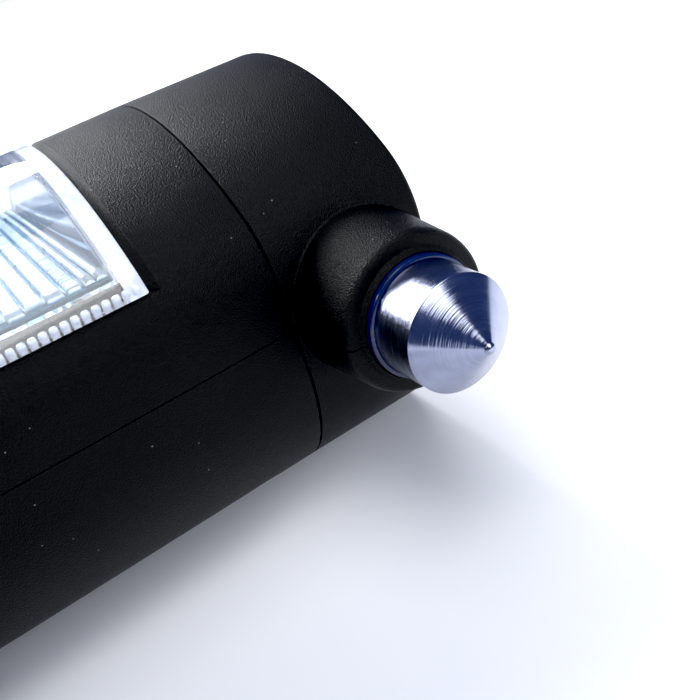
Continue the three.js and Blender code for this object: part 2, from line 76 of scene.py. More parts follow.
# %% [markdown]
# ## Camera
# The camera stands in front of the tool's side, some twenty millimetres behind
# the seam. It looks towards the point, down by thirty degrees, and is rolled by
# almost eighteen. It is a normal lens at close range, so the tail end runs out of
# view.

# %% Camera
camera = bpy.data.objects.new("camera", bpy.data.cameras.new("camera"))
bpy.context.scene.collection.objects.link(camera)
camera.data.lens = 44.48
camera.data.sensor_width = 36.0
camera.data.clip_start = 0.005
camera.location = Vector((19.5, -76.19, 49.74)) * MM
camera.rotation_euler = [math.radians(a) for a in (58.88, 15.40, -32.63)]
bpy.context.scene.camera = camera
print("camera at", [round(c, 4) for c in camera.location])

# %% [markdown]
# ## Floor and light
# A studio table: a pale floor, a large soft lamp in front and above, another
# behind the tool towards its tail, one overhead, and a blue surround. Two wide
# fills add soft light that nothing reflects. Black plastic shows only what it
# reflects, so the place of the lamps draws the shape of the tool.

# %% Floor, lamps and surround
FLOOR_SIZE = 4.0
CARD_AT = (-0.040, -0.022, 0.004)     # from the camera, in metres
CARD_SIZE = (0.10, 0.072)
BLACK_LEVEL = 0.008


def area_lamp(name, at, aim, size, power, colour):
    """A rectangular soft lamp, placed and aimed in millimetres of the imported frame."""
    lamp = bpy.data.lights.new(name, "AREA")
    lamp.shape = "RECTANGLE"
    lamp.size, lamp.size_y = size[0] * MM, size[1] * MM
    lamp.energy = power
    lamp.color = colour
    holder = bpy.data.objects.new(name, lamp)
    bpy.context.scene.collection.objects.link(holder)
    holder.location = Vector(at) * MM
    look = (Vector(at) - Vector(aim)).normalized()
    holder.rotation_euler = look.to_track_quat("Z", "Y").to_euler()
    return holder


bpy.ops.mesh.primitive_plane_add(size=FLOOR_SIZE)
floor = bpy.context.object
floor.name = "studio_floor"
area_lamp("key", (-5, -245, 465), (40, -15, 15), (390, 390), 1.9, (1.0, 1.0, 0.97))
area_lamp("back", (-170, 540, 410), (40, 0, 30), (640, 220), 10.5, (0.97, 0.98, 1.0))
area_lamp("top", (60, -60, 720), (40, 0, 20), (520, 520), 2.5, (1.0, 1.0, 1.0))
front_fill = area_lamp("front_fill", (350, -800, 380), (40, 0, 0), (1200, 500), 11.0,
                       (0.93, 0.95, 1.0))
far_fill = area_lamp("far_fill", (200, 1000, 700), (200, 900, 0), (1200, 900), 9.0,
                     (0.97, 0.98, 1.0))
front_fill.visible_glossy = far_fill.visible_glossy = False

# The camera's own dark body, which the point and the shell reflect.
screen_mesh = bmesh.new()
bmesh.ops.create_grid(screen_mesh, x_segments=1, y_segments=1, size=0.5)
screen_mesh.transform(camera.matrix_basis @ Matrix.Translation(CARD_AT)
                      @ Matrix.Diagonal((*CARD_SIZE, 1, 1)))
screen_data = bpy.data.meshes.new("camera_body")
screen_mesh.to_mesh(screen_data)
screen_mesh.free()
screen = bpy.data.objects.new("camera_body", screen_data)
bpy.context.scene.collection.objects.link(screen)
screen.visible_camera = False

world = bpy.data.worlds.new("surround")
bpy.context.scene.world = world
world.use_nodes = True
sky = world.node_tree.nodes["Background"]
sky.inputs["Color"].default_value = (0.14, 0.22, 0.56, 1)
sky.inputs["Strength"].default_value = 0.36

view = bpy.context.scene.view_settings
view.view_transform = "Standard"
view.use_curve_mapping = True
view.curve_mapping.black_level = (BLACK_LEVEL, BLACK_LEVEL, BLACK_LEVEL)
view.curve_mapping.update()

# %% [markdown]
# ## Writing shaders
# A finish is a small graph of nodes. Sums on numbers read best as sums, so a
# socket is wrapped in a class that turns + - * into Math nodes. Every other node
# comes from one method that takes its type, its settings and its sockets.

# %% Shader helpers
class Value:
    """A socket that carries a number. Arithmetic on it adds Math nodes."""

    def __init__(self, finish, socket):
        self.finish = finish
        self.socket = socket

    def _math(self, operation, a, b):
        node = self.finish.node("ShaderNodeMath", {"operation": operation}, {0: a, 1: b})
        return Value(self.finish, node.outputs[0])

    def __add__(self, other):
        return self._math("ADD", self, other)

    def __radd__(self, other):
        return self._math("ADD", other, self)

    def __sub__(self, other):
        return self._math("SUBTRACT", self, other)

    def __rsub__(self, other):
        return self._math("SUBTRACT", other, self)

    def __mul__(self, other):
        return self._math("MULTIPLY", self, other)

    def __rmul__(self, other):
        return self._math("MULTIPLY", other, self)

    def __gt__(self, other):
        return self._math("GREATER_THAN", self, other)

    def __lt__(self, other):
        return self._math("LESS_THAN", self, other)

    def modulo(self, period):
        return self._math("FLOORED_MODULO", self, period)

    def distance_from(self, middle):
        return self._math("ABSOLUTE", self - middle, 0.0)


class Finish:
    """A material and the nodes of its surface."""

    def __init__(self, name, **constants):
        self.material = bpy.data.materials.new(name)
        self.material.use_nodes = True
        self.tree = self.material.node_tree
        self.tree.nodes.clear()
        self.surface = self.node("ShaderNodeBsdfPrincipled", {}, {})
        self.node("ShaderNodeOutputMaterial", {}, {"Surface": self.surface.outputs[0]})
        for socket, value in constants.items():
            self.surface.inputs[socket.replace("_", " ")].default_value = value
        self.place = self.node("ShaderNodeTexCoord", {}, {}).outputs["Object"]

    def node(self, kind, settings, inputs):
        made = self.tree.nodes.new(kind)
        for name, value in settings.items():
            if name == "stops":
                self._stops(made.color_ramp, value)
            else:
                setattr(made, name, value)
        for name, value in inputs.items():
            self.feed(made.inputs[name], value)
        return made

    def _stops(self, ramp, stops):
        for position, colour in stops[2:]:
            ramp.elements.new(position)
        for element, (position, colour) in zip(ramp.elements, stops):
            element.position = position
            element.color = (*colour, 1)

    def feed(self, socket, value):
        if isinstance(value, Value):
            value = value.socket
        if isinstance(value, bpy.types.NodeSocket):
            self.tree.links.new(value, socket)
        else:
            socket.default_value = value

    def noise(self, size, detail=2.0, stretch=(1, 1, 1)):
        """Soft noise, whose spots are about size millimetres wide."""
        spread = self.node("ShaderNodeMapping", {}, {"Vector": self.place, "Scale": stretch})
        made = self.node("ShaderNodeTexNoise", {}, {
            "Vector": spread.outputs[0], "Scale": 1 / (size * MM), "Detail": detail})
        return Value(self, made.outputs[0])

    def along(self, axis):
        """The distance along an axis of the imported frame, in millimetres."""
        parts = self.node("ShaderNodeSeparateXYZ", {}, {"Vector": self.place})
        return Value(self, parts.outputs[axis]) * (1 / MM)

    def ramp(self, factor, *stops):
        made = self.node("ShaderNodeValToRGB", {"stops": stops}, {"Fac": factor})
        return made.outputs["Color"]

    def blend(self, factor, first, second):
        made = self.node("ShaderNodeMix", {"data_type": "RGBA"}, {"Factor": factor})
        self.feed(made.inputs[6], first)
        self.feed(made.inputs[7], second)
        return made.outputs[2]

    def relief(self, height, depth, strength=1.0):
        """Raised detail: height runs from 0 to 1 over depth millimetres."""
        made = self.node("ShaderNodeBump", {}, {
            "Height": height, "Distance": depth * MM, "Strength": strength})
        self.feed(self.surface.inputs["Normal"], made.outputs[0])

    def dust(self, spacing, size, share):
        """A mask of rare round specks."""
        cells = self.node("ShaderNodeTexVoronoi", {}, {
            "Vector": self.place, "Scale": 1 / (spacing * MM)})
        pick = self.node("ShaderNodeSeparateColor", {}, {"Color": cells.outputs["Color"]})
        near = Value(self, cells.outputs["Distance"]) < size / spacing
        return near * (Value(self, pick.outputs[0]) > 1 - share)

    def set(self, **sockets):
        for socket, value in sockets.items():
            self.feed(self.surface.inputs[socket.replace("_", " ")], value)


print("shader helpers ready")

# %% [markdown]
# ## Studio floor finish
# A pale table with the faintest cloudiness, so that it isn't one flat value, and
# the dark blue of the card in the camera's place.

# %% Studio floor finish
table_white = Finish("table_white", Roughness=0.7)
cloud = table_white.noise(60, 1.0)
table_white.set(Base_Color=table_white.ramp(
    cloud, (0.3, (0.64, 0.65, 0.68)), (0.7, (0.66, 0.67, 0.70))))
floor.data.materials.append(table_white.material)
dark_card = Finish("dark_card", Roughness=0.6)
dark_card.set(Base_Color=dark_card.ramp(
    dark_card.noise(30), (0.3, (0.012, 0.035, 0.10)), (0.7, (0.016, 0.04, 0.12))))
screen.data.materials.append(dark_card.material)
print("floor is", table_white.material.name)

# %% [markdown]
# ## Black moulded plastic
# The shells are black plastic with a fine spark-eroded grain. The grain is soft
# noise of a tenth of a millimetre, used as relief and as a small change of gloss.
# Wider noise adds the uneven sheen of handling, and rare pale specks are dust.

# %% Black moulded plastic
def moulded_black(name, base, gloss):
    made = Finish(name, IOR=1.46, Specular_IOR_Level=0.16)
    grain = made.noise(0.12, 2.0)
    wear = made.noise(6.0, 3.0)
    specks = made.dust(1.1, 0.06, 0.25)
    tint = made.ramp(wear, (0.3, base), (0.75, [c * 1.5 for c in base]))
    made.set(
        Base_Color=made.blend(specks, tint, (0.2, 0.2, 0.2, 1)),
        Roughness=gloss + 0.10 * (wear - 0.5) + 0.16 * (grain - 0.5))
    made.relief(grain, 0.12, 1.0)
    return made.material


black_shell = moulded_black("black_shell_plastic", (0.0016, 0.0016, 0.0016), 0.37)
grey_plastic = moulded_black("grey_satin_plastic", (0.05, 0.052, 0.058), 0.38)
print("plastics:", black_shell.name, grey_plastic.name)

# %% [markdown]
# ## Metals
# The point is turned on a lathe, so fine rings run round it. They are relief
# that changes only along the point, which draws a highlight out into a wedge.
# Ground strip has its scratches along its length instead.

# %% Metals
def turned_metal(name, base, rough):
    made = Finish(name, Metallic=1.0)
    depth = made.along("Y")
    fine = made.node("ShaderNodeTexNoise", {"noise_dimensions": "1D"}, {
        "W": depth, "Scale": 7.0, "Detail": 3.0, "Roughness": 0.7})
    rings = Value(made, fine.outputs[0])
    stain = made.noise(1.3, 3.0)
    made.set(
        Base_Color=made.ramp(
            0.5 * stain + 0.5 * rings, (0.36, [c * 0.8 for c in base]), (0.6, base)),
        Roughness=rough + 0.12 * (stain - 0.5) + 0.2 * (rings - 0.5))
    made.relief(rings, 0.045, 0.6)
    return made.material


def ground_metal(name, base, rough, size=0.25):
    made = Finish(name, Metallic=1.0)
    scratches = made.noise(size, 3.0, (0.06, 1, 1))
    made.set(
        Base_Color=made.ramp(scratches, (0.3, [c * 0.8 for c in base]), (0.7, base)),
        Roughness=rough + 0.2 * (scratches - 0.5))
    made.relief(scratches, 0.01, 0.5)
    return made.material


turned_steel = turned_metal("turned_steel", (0.40, 0.43, 0.56), 0.16)
plain_steel = ground_metal("plain_steel", (0.58, 0.59, 0.61), 0.3)
contact_metal = ground_metal("nickel_contact", (0.66, 0.62, 0.52), 0.26, 0.5)
bright_bowl = ground_metal("bright_torch_bowl", (0.86, 0.87, 0.90), 0.12, 2.0)
print("metals:", turned_steel.name, plain_steel.name, contact_metal.name)

# %% [markdown]
# ## Coloured and clear plastics
# The collar round the point is dark blue and glossy. The lens is clear acrylic
# with a breath of blue, and frosted on its end walls and flutes, which also get a
# faint painted glow. The tray under it is silvered, like a bicycle reflector, with
# painted shade in the gaps of its pattern.

# %% Coloured and clear plastics
# Painted shade: the gaps of the tray's pattern are coloured dark up to this height above its
# floor.
GAP_SHADE_RISE = 0.14                 # the tray is dark up to this far above its floor

navy = Finish("navy_gloss_plastic", IOR=1.5, Coat_Weight=0.4)
navy_depth = navy.noise(0.9, 2.0)
navy.set(
    Base_Color=navy.ramp(navy_depth, (0.3, (0.001, 0.006, 0.04)), (0.7, (0.002, 0.010, 0.06))),
    Roughness=0.22 + 0.1 * (navy_depth - 0.5))
navy.relief(navy.noise(0.2), 0.01, 0.3)

clear = Finish("clear_acrylic", IOR=1.49, Transmission_Weight=1.0)
haze = clear.noise(3.0, 3.0)
clear.set(
    Base_Color=clear.ramp(haze, (0.3, (0.90, 0.94, 1.0)), (0.7, (0.94, 0.97, 1.0))),
    Roughness=0.02 + 0.05 * haze)

# Frosted acrylic with a painted glow: the faint emission paints in light that the end walls and
# flutes catch, though they are no lamp.
frost_with_painted_glow = Finish("frosted_acrylic_painted_glow", IOR=1.49, Transmission_Weight=0.4, Emission_Strength=0.2)
frost_and_painted_glow = frost_with_painted_glow.noise(0.6, 2.0)
frost_with_painted_glow.set(
    Base_Color=frost_with_painted_glow.ramp(frost_and_painted_glow, (0.3, (0.44, 0.50, 0.62)), (0.7, (0.66, 0.70, 0.78))),
    Emission_Color=frost_with_painted_glow.ramp(frost_and_painted_glow, (0.3, (0.80, 0.86, 1.0)), (0.7, (0.95, 0.97, 1.0))),
    Roughness=0.08 + 0.1 * frost_and_painted_glow)

silver = Finish("silvered_tray", IOR=1.5)
shade = silver.noise(2.0, 3.0)
# Painted shade: in the gaps between the pillows, close above the tray floor, the colour turns dark
# blue.
painted_gap_shade = silver.along("Z") < BOTTOM + TRAY_Z + GAP_SHADE_RISE
silver.set(
    Base_Color=silver.blend(
        painted_gap_shade, silver.ramp(shade, (0.3, (0.38, 0.48, 0.58)), (0.7, (0.50, 0.60, 0.69))),
        (0.06, 0.17, 0.26, 1)),
    Metallic=0.55 + 0.2 * (shade - 0.5),
    Roughness=0.22 + 0.15 * shade)
silver.relief(silver.noise(0.45, 3.0), 0.10, 0.6)
print("plastics:", navy.material.name, clear.material.name, silver.material.name)

# %% [markdown]
# ## Finishes of the inner pieces
# Boards have green mask with darker tracks, cells a printed sleeve without any
# marks, and the lamps clear epoxy with a warm grain of phosphor.

# %% Finishes of the inner pieces
board = Finish("circuit_board_green", IOR=1.5)
tracks = board.node("ShaderNodeTexWave", {"wave_type": "BANDS"}, {
    "Vector": board.place, "Scale": 180.0, "Distortion": 6.0})
board.set(
    Base_Color=board.ramp(
        tracks.outputs[0], (0.35, (0.008, 0.07, 0.03)), (0.6, (0.02, 0.14, 0.06))),
    Roughness=0.35 + 0.1 * board.noise(1.0))
board.relief(Value(board, tracks.outputs[0]), 0.03, 0.5)

epoxy = Finish("led_epoxy", IOR=1.53, Coat_Weight=0.5)
phosphor = epoxy.noise(0.5, 3.0)
epoxy.set(
    Base_Color=epoxy.ramp(phosphor, (0.35, (0.85, 0.80, 0.45)), (0.65, (0.92, 0.90, 0.72))),
    Roughness=0.12 + 0.1 * phosphor)

sleeve = Finish("cell_sleeve", IOR=1.5)
print_band = sleeve.along("X").modulo(22.0).distance_from(11.0)
crinkle = sleeve.noise(1.2, 3.0, (0.3, 1, 1))
sleeve.set(
    Base_Color=sleeve.blend(print_band > 7.0, (0.20, 0.23, 0.28, 1), (0.46, 0.48, 0.52, 1)),
    Roughness=0.22 + 0.15 * crinkle)
sleeve.relief(crinkle, 0.05, 0.3)
print("inner finishes:", board.material.name, epoxy.material.name, sleeve.material.name)

# %% [markdown]
# ## Scale of the tread gauge
# A white strip with black lines: one every millimetre, a longer one at five.
# Lines are drawn from the distance along the tool, so they stay even.

# %% Scale of the tread gauge
scale_strip = Finish("scale_strip_print", IOR=1.5)
run = scale_strip.along("X")
height = scale_strip.along("Z")
every = (run.modulo(1.0).distance_from(0.5) > 0.42) * (height > BOTTOM + 1.25)
fifth = run.modulo(5.0).distance_from(2.5) > 2.36
ink = every + fifth
scale_strip.set(
    Base_Color=scale_strip.blend(ink, (0.78, 0.78, 0.75, 1), (0.02, 0.02, 0.02, 1)),
    Roughness=0.4 + 0.15 * scale_strip.noise(1.0))
print("scale:", scale_strip.material.name)

# %% [markdown]
# ## Sections and lofts
# The handle has one section from end to end, of five arcs: two for the belly, two
# for the shoulders and one for the crown. A shape made of such sections needs
# no sculpting: a row of rings, joined by faces, is exact and light.

# %% Section of the handle
def arc(centre, radius, start, end, steps):
    """Points of an arc in (y, z), angles in degrees, both ends included."""
    turns = [math.radians(start + (end - start) * i / steps) for i in range(steps + 1)]
    return [(centre[0] + radius * math.cos(a), centre[1] + radius * math.sin(a)) for a in turns]


CROWN_Z = TOP - CROWN_R
SHOULDER_Y = HALF_WIDTH - SHOULDER_R
SHOULDER_Z = CROWN_Z + math.sqrt((CROWN_R - SHOULDER_R) ** 2 - SHOULDER_Y ** 2)
SHOULDER_TURN = math.degrees(math.atan2(SHOULDER_Z - CROWN_Z, SHOULDER_Y))
print("shoulders meet the crown at", round(SHOULDER_TURN, 2), "degrees")

# %% [markdown]
# The handle grows a little wider and lower over its first fifty millimetres. That
# is a plain stretch of every ring, except on the flat parting plane.

# %% Rings and lofts
def stretch(x):
    """How much wider and taller the section is at x."""
    share = min(max(-x / SWELL_LENGTH, 0), 1)
    return 1 + SWELL_WIDTH * share, 1 + SWELL_HEIGHT * share


def stretched(x, outline):
    wide, tall = stretch(x)
    return [(x, y * wide, (z + BOTTOM) * tall - BOTTOM) for y, z in outline]


def upper_ring(x, offset, floor_z):
    """The section above a flat floor, from its right end over the crown to its left end."""
    base = (floor_z + BOTTOM) / stretch(x)[1] - BOTTOM
    middle, radius = (SHOULDER_Y, SHOULDER_Z), SHOULDER_R + offset
    if base < SHOULDER_Z:
        right = [(HALF_WIDTH + offset, base)] + arc(middle, radius, 0, SHOULDER_TURN, 20)
    else:
        start = math.degrees(math.asin((base - SHOULDER_Z) / radius))
        right = arc(middle, radius, start, SHOULDER_TURN, 21)
    crown = arc((0, CROWN_Z), CROWN_R + offset, SHOULDER_TURN, 180 - SHOULDER_TURN, 44)
    left = [(-y, z) for y, z in reversed(right)]
    return stretched(x, right + crown[1:-1] + left)


def lower_ring(x, offset, roof_z):
    """The section below a flat roof, from its left end round the belly to its right end."""
    base = (roof_z + BOTTOM) / stretch(x)[1] - BOTTOM
    middle = (BELLY_R - HALF_WIDTH, BELLY_R - BOTTOM)
    left = [(-HALF_WIDTH - offset, base)] + arc(middle, BELLY_R + offset, 180, 270, 36)
    return stretched(x, left + [(-y, z) for y, z in reversed(left)])


def mesh_object(name, mesh_of):
    """Turns a bmesh into an object of the scene."""
    data = bpy.data.meshes.new(name)
    mesh_of.to_mesh(data)
    mesh_of.free()
    made = bpy.data.objects.new(name, data)
    bpy.context.scene.collection.objects.link(made)
    return made


def loft(name, rings, closed=False):
    """Joins rings of points, from low X to high X, into one closed skin."""
    skin = bmesh.new()
    rows = [[skin.verts.new(p) for p in r] for r in rings]
    if closed:
        rows.append(rows[0])
    for low, high in zip(rows, rows[1:]):
        for i in range(len(low)):
            j = (i + 1) % len(low)
            skin.faces.new((low[i], low[j], high[j], high[i]))
    if not closed:
        skin.faces.new(list(reversed(rows[0])))
        skin.faces.new(rows[-1])
    return mesh_object(name, skin)


def rounded_run(low, high, round_low, round_high, step=5.0):
    """Stations along X, and how far the section lies inside there, with rounded ends."""
    bend = [math.radians(a) for a in (90, 67.5, 45, 22.5, 0)]
    start = [(low + round_low * (1 - math.sin(a)), round_low * (1 - math.cos(a))) for a in bend]
    end = [(high - round_high * (1 - math.sin(a)), round_high * (1 - math.cos(a)))
           for a in reversed(bend)]
    first, last = start[-1][0], end[0][0]
    count = max(int((last - first) / step), 1)
    middle = [(first + (last - first) * i / count, 0.0) for i in range(1, count)]
    if not round_low:
        start = start[-1:]
    if not round_high:
        end = end[:1]
    return start + middle + end


print("loft helpers ready")

# %% [markdown]
# ## Cutting openings
# Openings are cut with Boolean modifiers, applied at once, and the cutter is
# taken away. Edges that were rounded in the rings stay rounded.

# %% Cutting helpers
def box(name, low, high):
    """A block between two corners, as a cutter."""
    block = bmesh.new()
    bmesh.ops.create_cube(block, size=1.0)
    size = Vector(high) - Vector(low)
    block.transform(Matrix.Translation((Vector(high) + Vector(low)) / 2)
                    @ Matrix.Diagonal((*size, 1)))
    return mesh_object(name, block)


AXES = {"X": Matrix.Rotation(math.radians(90), 4, "Y"),
        "Y": Matrix.Rotation(math.radians(-90), 4, "X"),
        "Z": Matrix.Identity(4)}


def bar(name, axis, radius, low, high, across, sides=48):
    """A round bar along an axis, as a cutter. across is its place on the other two."""
    rod = bmesh.new()
    bmesh.ops.create_cone(rod, cap_ends=True, segments=sides, radius1=radius, radius2=radius,
                          depth=high - low)
    middle = (low + high) / 2
    at = {"X": (middle, *across), "Y": (across[0], middle, across[1]),
          "Z": (*across, middle)}[axis]
    rod.transform(Matrix.Translation(at) @ AXES[axis])
    return mesh_object(name, rod)


def combine(target, others, operation):
    """Applies one Boolean for each helper and removes the helper."""
    for other in others:
        step = target.modifiers.new("cut", "BOOLEAN")
        step.operation = operation
        step.solver = "EXACT"
        step.object = other
        bpy.context.view_layer.objects.active = target
        bpy.ops.object.modifier_apply(modifier=step.name)
        bpy.data.objects.remove(other)
    return target


def cut(target, *others):
    return combine(target, others, "DIFFERENCE")


def finish(piece, body, slot, replaced, material, angle=32):
    """Puts a piece in its place, smooths it, gives it its finish and its body."""
    piece.data.transform(PLACE)
    piece.data.shade_smooth()
    piece.data.set_sharp_from_angle(angle=math.radians(angle))
    piece.data.materials.clear()
    piece.data.materials.append(material)
    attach(piece, body)
    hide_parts(*replaced)
    print(piece.name, len(piece.data.polygons), "faces")
    return piece


print("cutting helpers ready")

# %% [markdown]
# ## Upper shell of the handle
# One hollow length with a wide opening for the lamp, whose two end rims slope
# down to the lens. The shell is drawn as a run of half sections with rounded
# ends, and the openings are cut out of it.

# %% Upper shell: lamp opening, switch pocket and hollows
LENS_START, LENS_END = 8.8, 92.8
LENS_RIM = 0.75
LEDGE_Z, LIP_Z = 7.6, 8.8
SHELF_Y = 14.5
SWITCH_X = 110.0
BELT_X, BELT_WIDTH, BELT_DEPTH_Y = 136.3, 5.6, 4.0
BLOCK_START, BLOCK_END = 127.0, 148.0
TORCH_Z, TORCH_BORE, BEZEL_R = -1.7, 14.2, 15.2
GAUGE_Y, GAUGE_Z, GAUGE_START, GAUGE_TRAVEL = 16.6, 3.8, 36.0, 16.0
CHANNEL_Y, CHANNEL_Z = 0.9, 1.5       # half sizes of the gauge's channel
LAMP_ROOM_Y, LAMP_ROOM_TOP = 17.4, 5.6
POCKET_X, POCKET_Y, POCKET_DEPTH = 9, 5.5, 1.6
TOP_REAR = -BOTTOM + (TOP + BOTTOM) * (1 + SWELL_HEIGHT)
FAR = 60.0


def upper_run(name, low, high, offset, floor_z, round_low=0.0, round_high=0.0):
    stations = rounded_run(low, high, round_low, round_high)
    return loft(name, [upper_ring(x, offset - inset, floor_z) for x, inset in stations])


def lower_run(name, low, high, offset, roof_z, round_low=0.0, round_high=0.0):
    stations = rounded_run(low, high, round_low, round_high)
    return loft(name, [lower_ring(x, offset - inset, roof_z) for x, inset in stations])


def rim_slope(name, edge_x, lens_x):
    """What is cut away round one end of the lamp opening, as a sloping rim."""
    past = lens_x + 0.7 * (1 if lens_x > edge_x else -1)
    profile = [(past, 2), (edge_x, 2), (edge_x, 0.02), (lens_x, -0.6), (past, -0.6)]
    if lens_x > edge_x:
        profile.reverse()
    rings = [upper_ring(x, offset, 2.0 - offset) for x, offset in profile]
    slope = loft(name, rings, closed=True)
    keep = box("above_ledge", (-LENS_END - 5, -FAR, LEDGE_Z), (0, FAR, FAR))
    return combine(slope, [keep], "INTERSECT")


def lens_lip(name, grow=0.0):
    """The lip of the shell, on both sides, that the rim of the lens sits over."""
    low, high = -LENS_END + 0.3, -LENS_START - 0.3
    lip = upper_run(name, low, high, grow - 0.28, LEDGE_Z - 0.3)
    cut(lip, upper_run("lip_room", low - 1, high + 1, -0.7 - grow, LEDGE_Z - 1))
    height = box("lip_height", (low - 1, -FAR, 0), (high + 1, FAR, LIP_Z + grow))
    return combine(lip, [height], "INTERSECT")


def belt_cutters():
    slot = box("belt_slot", (-BELT_X - BELT_WIDTH / 2, BELT_DEPTH_Y, -FAR),
               (-BELT_X + BELT_WIDTH / 2, FAR, FAR))
    mouth = box("belt_mouth", (-BELT_WIDTH / 2, -BELT_WIDTH / 2, -FAR),
                (BELT_WIDTH / 2, BELT_WIDTH / 2, FAR))
    mouth.data.transform(Matrix.Translation((-BELT_X, HALF_WIDTH + 1, 0))
                         @ Matrix.Rotation(math.radians(45), 4, "Z"))
    return [slot, mouth]


def torch_cutters():
    bore = bar("torch_bore", "X", TORCH_BORE, -TAIL + 3.4, -BLOCK_END, (0, TORCH_Z), 96)
    seat = bar("bezel_seat", "X", BEZEL_R + 0.3, -TAIL - 1, -TAIL + 3.5, (0, TORCH_Z), 96)
    return [bore, seat]


upper = upper_run("handle_upper", -TAIL, -SEAM, 0, SPLIT, 0.5, 0.07)
cut(upper,
    upper_run("hollow_head", -LENS_START + 2, -WALL, -WALL, -1),
    upper_run("hollow_tail", -BLOCK_START, -LENS_END - 2, -WALL, -1),
    box("lamp_room", (-LENS_END - 2.1, -LAMP_ROOM_Y, -1),
        (-LENS_START + 2.1, LAMP_ROOM_Y, LAMP_ROOM_TOP)),
    box("lamp_well", (-LENS_END, -SHELF_Y, 5), (-LENS_START, SHELF_Y, FAR)),
    box("lamp_opening", (-LENS_END, -FAR, LEDGE_Z), (-LENS_START, FAR, FAR)),
    rim_slope("near_rim", -LENS_START + LENS_RIM, -LENS_START),
    rim_slope("far_rim", -LENS_END - LENS_RIM, -LENS_END),
    box("switch_pocket", (-SWITCH_X - POCKET_X, -POCKET_Y, TOP_REAR - POCKET_DEPTH),
        (-SWITCH_X + POCKET_X, POCKET_Y, FAR)),
    box("gauge_slot", (-GAUGE_START - 0.4, GAUGE_Y, GAUGE_Z - 1.3),
        (-GAUGE_START + GAUGE_TRAVEL + 4.4, FAR, GAUGE_Z + 1.3)),
    box("gauge_channel", (-WALL - 1, GAUGE_Y - CHANNEL_Y, GAUGE_Z - CHANNEL_Z),
        (1, GAUGE_Y + CHANNEL_Y, GAUGE_Z + CHANNEL_Z)),
    *belt_cutters(), *torch_cutters())
combine(upper, [lens_lip("lens_lip")], "UNION")
finish(upper, "tool", "black_shell", ["body_shell_upper"], black_shell)

# %% [markdown]
# ## Lower shell of the handle
# The lower shell has the battery bay, the other half of the belt slot and of the
# torch bore, and six pockets for the screws that hold the shells together.

# %% Lower shell: battery bay and screw pockets
BAY_START, BAY_END = 56.0, 110.0
DOOR_Z, HINGE_Y = -7.0, 19.5
BARREL_R, BARREL_ROOM_R, PIN_BORE_R = 1.3, 1.7, 0.8
SCREW_ROWS, SCREW_Y, SCREW_SEAT = (5.6, 47.0, 121.0), 12.0, -10.1
SCREW_PLACES = [(-x, side * SCREW_Y) for x in SCREW_ROWS for side in (-1, 1)]
SCREW_POCKET_R, SCREW_POST_R, SCREW_POST_FOOT = 2.8, 4.0, -12.9
POINT_X = 7.1
HEAD_SCREWS, HEAD_SCREW_SEAT = (1.5, 12.5), -7.6


def screw_pockets(places, seat):
    return [bar("screw_pocket", "Z", SCREW_POCKET_R, -BOTTOM - 2, seat, place, 32)
            for place in places]


lower = lower_run("handle_lower", -TAIL, -SEAM, 0, -SPLIT, 0.5, 0.07)
cut(lower,
    lower_run("hollow_lower", -BLOCK_START, -WALL, -WALL, 1),
    box("battery_bay", (-BAY_END, -FAR, -FAR), (-BAY_START, FAR, DOOR_Z)),
    bar("hinge_room", "X", BARREL_ROOM_R, -BAY_END, -BAY_START, (HINGE_Y, DOOR_Z), 32),
    *belt_cutters(), *torch_cutters())
posts = [bar("screw_post", "Z", SCREW_POST_R, SCREW_POST_FOOT, -SPLIT - 0.01, place, 48)
         for place in SCREW_PLACES]
combine(lower, posts, "UNION")
cut(lower, *screw_pockets(SCREW_PLACES, SCREW_SEAT))
finish(lower, "tool", "black_shell", ["body_shell_lower"], black_shell)

# %% [markdown]
# ## Head with its boss
# The head closes the handle and carries the steel point in a short boss. The boss
# is turned, but its foot has to follow the curved side of the head: each foot
# ring takes its depth from the section, with a small hollow fillet between.

# %% Boss that carries the point
HEAD_EDGE = 0.5
COLLAR_R, COLLAR_FOOT, COLLAR_END = 4.8, 24.2, 27.9
BOSS_R, BOSS_TIP_R, BOSS_END = 6.82, 6.35, 27.0
BOSS_FILLET = 0.14


def side_y(z):
    """How far the side of the head is from the middle, at a height."""
    if z > SHOULDER_Z:
        return SHOULDER_Y + math.sqrt(SHOULDER_R ** 2 - (z - SHOULDER_Z) ** 2)
    belly_z = BELLY_R - BOTTOM
    if z < belly_z:
        return HALF_WIDTH - BELLY_R + math.sqrt(BELLY_R ** 2 - (z - belly_z) ** 2)
    return HALF_WIDTH


def boss_ring(radius, depth, sides=96):
    """A ring round the point's axis. depth gives y from the height of each of its points."""
    points = []
    for i in range(sides):
        turn = 2 * math.pi * i / sides
        z = radius * math.sin(turn)
        x = min(max(POINT_X + radius * math.cos(turn), SEAM), HEAD_LENGTH + 0.25)
        points.append((x, -depth(z), z))
    return points


def boss(name):
    rings = [boss_ring(BOSS_TIP_R, lambda z: 14.0)]
    rings.append(boss_ring(BOSS_R + BOSS_FILLET + 0.2, lambda z: side_y(z) - 0.12))
    for degrees in (0, 18, 36, 54, 72, 90):
        a = math.radians(degrees)
        rise = BOSS_FILLET * (1 - math.cos(a))
        rings.append(boss_ring(BOSS_R + BOSS_FILLET * (1 - math.sin(a)),
                               lambda z, rise=rise: side_y(z) + rise))
    for radius, y in ((BOSS_R - 0.04, 21.2), (BOSS_TIP_R + 0.05, 26.2), (BOSS_TIP_R, 26.42),
                      (BOSS_TIP_R - 0.08, 26.66), (BOSS_TIP_R - 0.22, 26.86),
                      (BOSS_TIP_R - 0.4, 26.96), (BOSS_TIP_R - 0.6, BOSS_END),
                      (COLLAR_R + 0.5, BOSS_END + 0.05),
                      (COLLAR_R + 0.25, BOSS_END + 0.3), (COLLAR_R + 0.12, BOSS_END + 0.42),
                      (COLLAR_R + 0.03, BOSS_END + 0.38), (COLLAR_R + 0.02, COLLAR_FOOT)):
        rings.append(boss_ring(radius, lambda z, y=y: y))
    return loft(name, rings)


